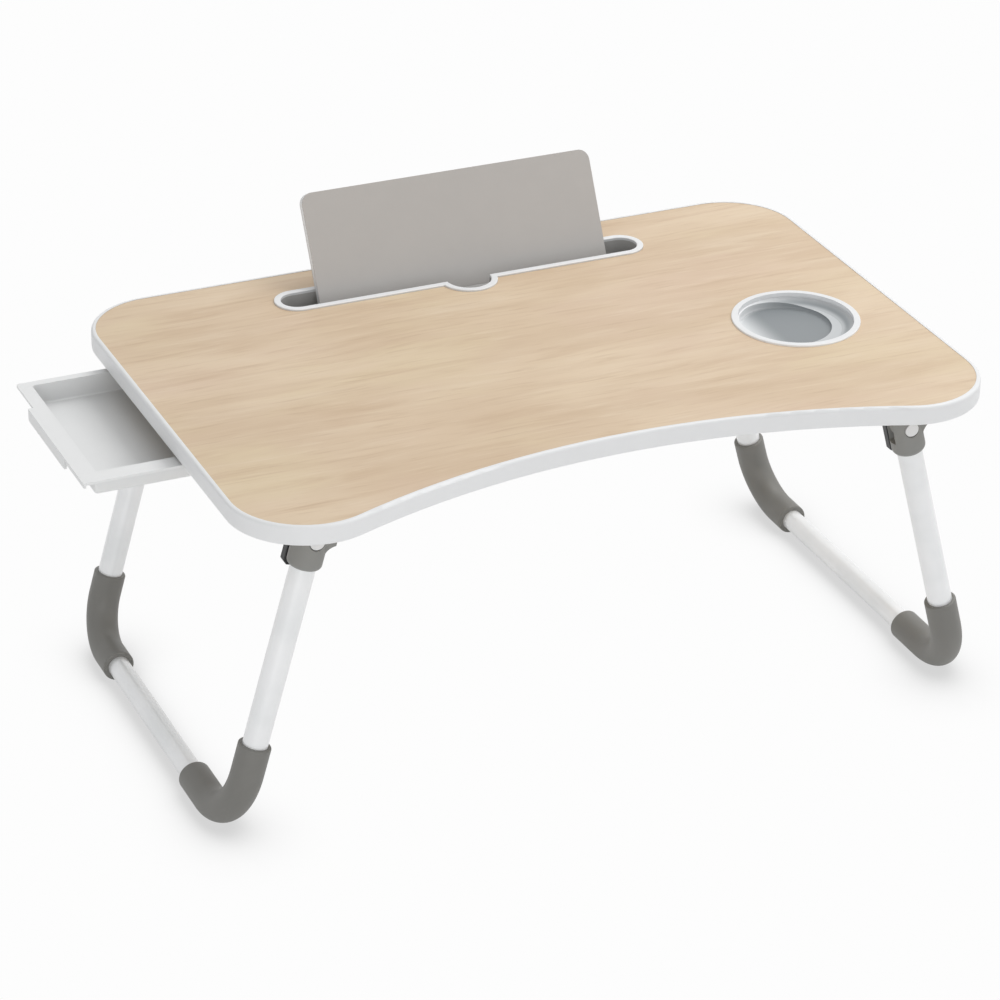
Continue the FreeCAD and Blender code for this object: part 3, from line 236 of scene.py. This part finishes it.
def fibreboard():
    """Underside of the board: pressed fibres in a warm pale brown."""
    board = Finish("board_core")
    fibres = board.noise(board.coordinates(scale=(260, 300, 300)), scale=1.0, detail=6, roughness=0.7)
    clouds = board.noise(board.coordinates(), scale=9.0, detail=3)
    tone = board.blend(board.span(clouds, 0.3, 0.7), srgb(196, 176, 146), srgb(206, 187, 158))
    flecked = board.blend(board.span(fibres, 0.45, 0.75, 0, 0.5), tone, srgb(168, 144, 112))
    board.set(Base_Color=flecked, Roughness=0.78, Specular_IOR_Level=0.25)
    board.relief(fibres, 0.00008, 0.6)
    return board.material


def make_materials():
    """One finish for each material slot of the record."""
    return {
        "oak_laminate": oak_laminate(),
        "board_core": fibreboard(),
        # White plastic, with shade painted into its inner corners.
        "white_plastic": moulding("white_plastic", srgb(243, 244, 245), roughness=0.42, mottle=0.008,
                                  painted_crease_shade=(0.045, 0.72)),
        "trough_grey": moulding("trough_grey", srgb(173, 172, 170), roughness=0.55, mottle=0.03),
        "panel_grey": moulding("panel_grey", srgb(192, 189, 186), roughness=0.6, mottle=0.012, cell=1500.0),
        "hinge_grey": moulding("hinge_grey", srgb(147, 147, 144), roughness=0.55, mottle=0.03),
        "elbow_grey": moulding("elbow_grey", srgb(127, 126, 122), roughness=0.5, mottle=0.03, cell=1200.0),
        "black_plastic": moulding("black_plastic", srgb(34, 34, 35), roughness=0.45, mottle=0.05),
        "tube_metal": tube_metal(),
        "screw_steel": screw_steel(),
    }


def finish_nodes(materials, special):
    """Gives each CAD node its own finish, or the one that the record's sub-part table names."""
    for row in frame["record"]["subparts"]:
        node = NODES[row["node"]]
        node.data.materials.clear()
        node.data.materials.append(special.get(row["node"], materials[row["material_slot"]]))
        for polygon in node.data.polygons:
            polygon.material_index = 0


# Floor, light and camera


def floor():
    """A wide pale floor. The camera sees it almost white, with soft shadows near the object painted in from
    ambient occlusion.
    """
    radius = 12.0
    sides = 96
    low = CAD_BOX[0].z
    ring = [(radius * math.cos(math.tau * i / sides), radius * math.sin(math.tau * i / sides), low)
            for i in range(sides)]
    mesh = bpy.data.meshes.new("floor")
    mesh.from_pydata(ring, [], [tuple(range(sides))])
    disc = bpy.data.objects.new("floor", mesh)
    bpy.context.scene.collection.objects.link(disc)
    pale = Finish("floor_pale")
    lit = pale.add("BsdfDiffuse", {"Color": (FLOOR_ALBEDO, FLOOR_ALBEDO, FLOOR_ALBEDO, 1)})
    # Painted shadow: ambient occlusion greys the colour the camera sees near the object.
    near = pale.add("AmbientOcclusion", {"Distance": 0.07}, samples=24).outputs["AO"]
    tone = pale.blend(pale.span(near, 0.45, 0.98), (0.66, 0.66, 0.66, 1),
                      (SEEN_WHITE, SEEN_WHITE, SEEN_WHITE, 1))
    glow = pale.add("Emission", {"Color": tone, "Strength": 1.0})
    ray = pale.add("LightPath")
    seen = pale.combine(ray.outputs["Is Camera Ray"], ray.outputs["Is Glossy Ray"], "MAXIMUM")
    seen = pale.combine(seen, ray.outputs["Is Transmission Ray"], "MAXIMUM")
    mixed = pale.add("MixShader", {0: seen, 1: lit.outputs[0], 2: glow.outputs[0]})
    output = pale.tree.nodes["Material Output"]
    pale.tree.links.new(mixed.outputs[0], output.inputs["Surface"])
    pale.tree.nodes.remove(pale.surface)
    mesh.materials.append(pale.material)


def sky():
    """A plain white surround: pure white to the camera, softer as a light."""
    world = bpy.data.worlds.new("studio")
    bpy.context.scene.world = world
    world.use_nodes = True
    tree = world.node_tree
    background = tree.nodes["Background"]
    ray = tree.nodes.new("ShaderNodeLightPath")
    strength = tree.nodes.new("ShaderNodeMapRange")
    seen = tree.nodes.new("ShaderNodeMath")
    seen.operation = "MAXIMUM"
    tree.links.new(ray.outputs["Is Camera Ray"], seen.inputs[0])
    tree.links.new(ray.outputs["Is Glossy Ray"], seen.inputs[1])
    strength.inputs["To Min"].default_value = SKY_LIGHT
    strength.inputs["To Max"].default_value = SEEN_WHITE
    tree.links.new(seen.outputs[0], strength.inputs["Value"])
    tree.links.new(strength.outputs[0], background.inputs["Strength"])
    background.inputs["Color"].default_value = (1, 1, 1, 1)


def lamp(name, place, aim, size, power):
    """A square soft box at place, turned towards aim."""
    data = bpy.data.lights.new(name, "AREA")
    data.shape = "SQUARE"
    data.size = size
    data.energy = power
    light = bpy.data.objects.new(name, data)
    bpy.context.scene.collection.objects.link(light)
    light.location = place
    light.rotation_mode = "QUATERNION"
    light.rotation_quaternion = (Vector(aim) - Vector(place)).to_track_quat("-Z", "Y")


def lamps():
    lamp("top_box", (1.3, 0.4, 1.9), (0, 0, -0.1), 1.4, 25)
    lamp("right_box", (1.5, -1.1, 1.1), (0, 0, -0.1), 1.2, 4)
    lamp("front_box", (-1.0, -1.7, 0.3), (-0.1, 0, -0.15), 1.0, 6.5)


def camera():
    """The photograph's viewpoint: turn, tilt and roll in degrees, distances in metres."""
    turn, tilt, roll = (math.radians(a) for a in (-24.75, 28.25, 1.11))
    distance, slide_x, slide_y = 2.76514, 0.02472, 0.11401
    focal_share = 3.64963       # focal length as a share of the sensor's width
    back = Vector((math.sin(turn) * math.cos(tilt), -math.cos(turn) * math.cos(tilt), math.sin(tilt)))
    level = Vector((0, 0, 1)).cross(back).normalized()
    upright = back.cross(level)
    right = level * math.cos(roll) + upright * math.sin(roll)
    up = upright * math.cos(roll) - level * math.sin(roll)
    data = bpy.data.cameras.new("photo_camera")
    data.sensor_width = 36.0
    data.lens = focal_share * data.sensor_width
    data.clip_start = 0.05
    data.clip_end = 60.0
    view = bpy.data.objects.new("photo_camera", data)
    bpy.context.scene.collection.objects.link(view)
    turn_matrix = Matrix((right, up, back)).transposed().to_4x4()
    place = back * distance - right * slide_x - up * slide_y
    view.matrix_world = Matrix.Translation(place) @ turn_matrix
    bpy.context.scene.camera = view


# The scene


# The drawer tray's white plastic, with shade painted into its inner corners.
tray_white = moulding("tray_white", srgb(246, 247, 247), roughness=0.42, mottle=0.008,
                      painted_crease_shade=(0.045, 0.79))
finish_nodes(make_materials(), {"cup_insert": cup_white_painted_shade(), "drawer_tray": tray_white})
floor()
sky()
lamps()
camera()
bpy.context.scene.view_settings.view_transform = "Standard"
